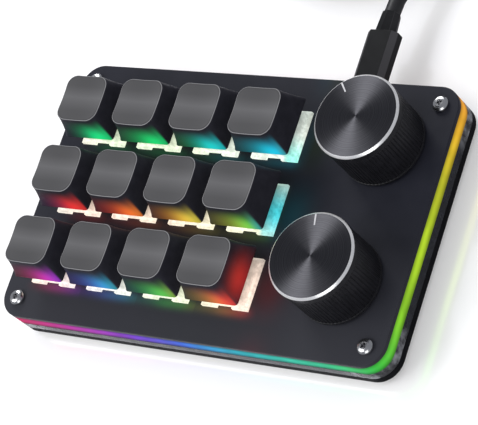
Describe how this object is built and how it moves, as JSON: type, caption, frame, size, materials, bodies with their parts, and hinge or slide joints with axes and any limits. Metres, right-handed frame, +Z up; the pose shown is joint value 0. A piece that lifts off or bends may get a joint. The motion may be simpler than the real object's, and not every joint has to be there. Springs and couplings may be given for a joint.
{
  "type": "macro keypad",
  "caption": "Small desk keypad: a grid of lit square keys beside two round push dials, in a screwed sandwich case with a glowing rim and a USB cable.",
  "frame": {"origin": "on the desk, under the middle of the case", "axes": "+X to the right along the rows of keys, +Y to the back where the USB socket is, +Z up"},
  "size_m": [0.1378, 0.223, 0.0322],
  "materials": {
    "rubber": "matte black rubber",
    "black_plate": "black, satin",
    "top_plate": "black anodised, satin",
    "clear_acrylic": "clear, polished",
    "lit_acrylic": "frosted, lit from inside in changing colours",
    "screw_steel": "nickel plated",
    "board": "black solder mask",
    "light": "white, lit",
    "black_chip": "black moulding",
    "keycap": "matte black, lighter on the dish",
    "stem": "red, slippery",
    "housing": "clear to milky",
    "spring_steel": "bright wire",
    "contact": "gold plated",
    "encoder_body": "black moulding",
    "encoder_metal": "zinc plated",
    "shaft": "bare, turned",
    "knob": "black anodised with a bright cut rim",
    "usb_steel": "bright nickel",
    "usb_plastic": "black",
    "grip": "black, satin",
    "cable": "matte black jacket"
  },
  "bodies": {
    "base": {"rubber_feet": "rubber", "bottom_plate": "black_plate", "clear_frame": "clear_acrylic", "light_guide_frame": "lit_acrylic", "top_plate": "top_plate", "top_screws": "screw_steel", "main_board": "board", "key_lights": "light", "edge_lights": "light", "controller_chip": "black_chip", "key_diodes": "black_chip", "switch_lower_housings": "housing", "switch_upper_housings": "housing", "switch_contacts": "contact", "switch_springs": "spring_steel", "encoder_bodies": "encoder_body", "encoder_bushings": "encoder_metal", "encoder_terminals": "contact", "usb_c_socket": "usb_steel", "usb_c_socket_tongue": "usb_plastic", "usb_c_plug_shell": "usb_steel", "usb_c_plug_grip": "grip", "usb_a_plug_grip": "grip", "usb_a_plug_shell": "usb_steel", "usb_a_plug_tongue": "usb_plastic", "cable_lead": "cable", "cable_coil": "cable", "cable_tail": "cable"},
    "key_01": {"keycap_01": "keycap", "switch_stem_01": "stem"},
    "key_02": {"keycap_02": "keycap", "switch_stem_02": "stem"},
    "key_03": {"keycap_03": "keycap", "switch_stem_03": "stem"},
    "key_04": {"keycap_04": "keycap", "switch_stem_04": "stem"},
    "key_05": {"keycap_05": "keycap", "switch_stem_05": "stem"},
    "key_06": {"keycap_06": "keycap", "switch_stem_06": "stem"},
    "key_07": {"keycap_07": "keycap", "switch_stem_07": "stem"},
    "key_08": {"keycap_08": "keycap", "switch_stem_08": "stem"},
    "key_09": {"keycap_09": "keycap", "switch_stem_09": "stem"},
    "key_10": {"keycap_10": "keycap", "switch_stem_10": "stem"},
    "key_11": {"keycap_11": "keycap", "switch_stem_11": "stem"},
    "key_12": {"keycap_12": "keycap", "switch_stem_12": "stem"},
    "back_rotor": {"back_dial_rotor": "encoder_body"},
    "back_knob": {"back_dial_knob": "knob", "back_dial_shaft": "shaft"},
    "front_rotor": {"front_dial_rotor": "encoder_body"},
    "front_knob": {"front_dial_knob": "knob", "front_dial_shaft": "shaft"}
  },
  "joints": [
    {"name": "key_press_01", "type": "slide", "parent": "base", "child": "key_01", "axis": [0, 0, -1], "range_m": [0, 0.004], "stiffness_N_per_m": 70, "springref_m": -0.005, "deforming": ["switch_springs"]},
    {"name": "key_press_02", "type": "slide", "parent": "base", "child": "key_02", "axis": [0, 0, -1], "range_m": [0, 0.004], "stiffness_N_per_m": 70, "springref_m": -0.005, "deforming": ["switch_springs"]},
    {"name": "key_press_03", "type": "slide", "parent": "base", "child": "key_03", "axis": [0, 0, -1], "range_m": [0, 0.004], "stiffness_N_per_m": 70, "springref_m": -0.005, "deforming": ["switch_springs"]},
    {"name": "key_press_04", "type": "slide", "parent": "base", "child": "key_04", "axis": [0, 0, -1], "range_m": [0, 0.004], "stiffness_N_per_m": 70, "springref_m": -0.005, "deforming": ["switch_springs"]},
    {"name": "key_press_05", "type": "slide", "parent": "base", "child": "key_05", "axis": [0, 0, -1], "range_m": [0, 0.004], "stiffness_N_per_m": 70, "springref_m": -0.005, "deforming": ["switch_springs"]},
    {"name": "key_press_06", "type": "slide", "parent": "base", "child": "key_06", "axis": [0, 0, -1], "range_m": [0, 0.004], "stiffness_N_per_m": 70, "springref_m": -0.005, "deforming": ["switch_springs"]},
    {"name": "key_press_07", "type": "slide", "parent": "base", "child": "key_07", "axis": [0, 0, -1], "range_m": [0, 0.004], "stiffness_N_per_m": 70, "springref_m": -0.005, "deforming": ["switch_springs"]},
    {"name": "key_press_08", "type": "slide", "parent": "base", "child": "key_08", "axis": [0, 0, -1], "range_m": [0, 0.004], "stiffness_N_per_m": 70, "springref_m": -0.005, "deforming": ["switch_springs"]},
    {"name": "key_press_09", "type": "slide", "parent": "base", "child": "key_09", "axis": [0, 0, -1], "range_m": [0, 0.004], "stiffness_N_per_m": 70, "springref_m": -0.005, "deforming": ["switch_springs"]},
    {"name": "key_press_10", "type": "slide", "parent": "base", "child": "key_10", "axis": [0, 0, -1], "range_m": [0, 0.004], "stiffness_N_per_m": 70, "springref_m": -0.005, "deforming": ["switch_springs"]},
    {"name": "key_press_11", "type": "slide", "parent": "base", "child": "key_11", "axis": [0, 0, -1], "range_m": [0, 0.004], "stiffness_N_per_m": 70, "springref_m": -0.005, "deforming": ["switch_springs"]},
    {"name": "key_press_12", "type": "slide", "parent": "base", "child": "key_12", "axis": [0, 0, -1], "range_m": [0, 0.004], "stiffness_N_per_m": 70, "springref_m": -0.005, "deforming": ["switch_springs"]},
    {"name": "back_dial_turn", "type": "hinge", "parent": "base", "child": "back_rotor", "pos_m": [0.04668, 0.0224, 0.0139], "axis": [0, 0, -1], "continuous": true},
    {"name": "back_dial_press", "type": "slide", "parent": "back_rotor", "child": "back_knob", "axis": [0, 0, -1], "range_m": [0, 0.0005], "stiffness_N_per_m": 4000, "springref_m": -0.0005},
    {"name": "front_dial_turn", "type": "hinge", "parent": "base", "child": "front_rotor", "pos_m": [0.04668, -0.0188, 0.0139], "axis": [0, 0, -1], "continuous": true},
    {"name": "front_dial_press", "type": "slide", "parent": "front_rotor", "child": "front_knob", "axis": [0, 0, -1], "range_m": [0, 0.0005], "stiffness_N_per_m": 4000, "springref_m": -0.0005}
  ]
}
